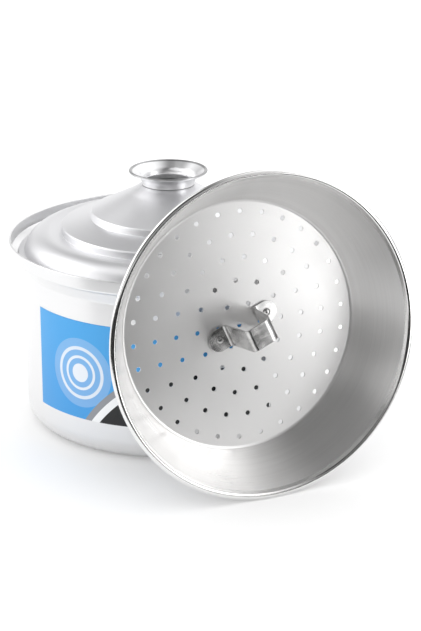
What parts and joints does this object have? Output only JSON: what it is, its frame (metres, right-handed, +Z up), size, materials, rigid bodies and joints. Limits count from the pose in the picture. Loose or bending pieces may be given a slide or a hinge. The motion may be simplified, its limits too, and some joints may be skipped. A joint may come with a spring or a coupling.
{
  "type": "mandi pot",
  "caption": "Spun aluminium cooking pot with a swaged mouth, a stepped lid with a flared vent chimney, and a loose perforated strainer with a strap handle that leans on the pot.",
  "frame": {"origin": "centre of the pot's flat base, on the surface that the pot stands on", "axes": "+Z up along the pot's axis; the front of the pot, with the label, faces -Y; +X is to the right seen from the front"},
  "size_m": [0.3817, 0.419, 0.2962],
  "materials": {
    "pot_aluminium": "satin",
    "label_print": "printed, gloss",
    "lid_aluminium": "satin",
    "chimney_aluminium": "polished",
    "strainer_aluminium": "brushed round",
    "strap_aluminium": "polished",
    "rivet_aluminium": "polished"
  },
  "bodies": {
    "pot": {"pot_body": "pot_aluminium", "front_label": "label_print"},
    "lid": {"lid_dome": "lid_aluminium", "lid_chimney": "chimney_aluminium"},
    "strainer": {"strainer_pan": "strainer_aluminium", "strainer_handle": "strap_aluminium", "rivet_left": "rivet_aluminium", "rivet_right": "rivet_aluminium"}
  },
  "joints": [
    {"name": "lid_lift", "type": "slide", "parent": "pot", "child": "lid", "axis": [0, 0, 1], "range_m": [0, 0.15]},
    {"name": "strainer_tip", "type": "hinge", "parent": "pot", "child": "strainer", "pos_m": [0.09772, -0.21442, 0.003], "axis": [0.91, 0.4147, 0], "range_deg": [0, 97.2]}
  ]
}
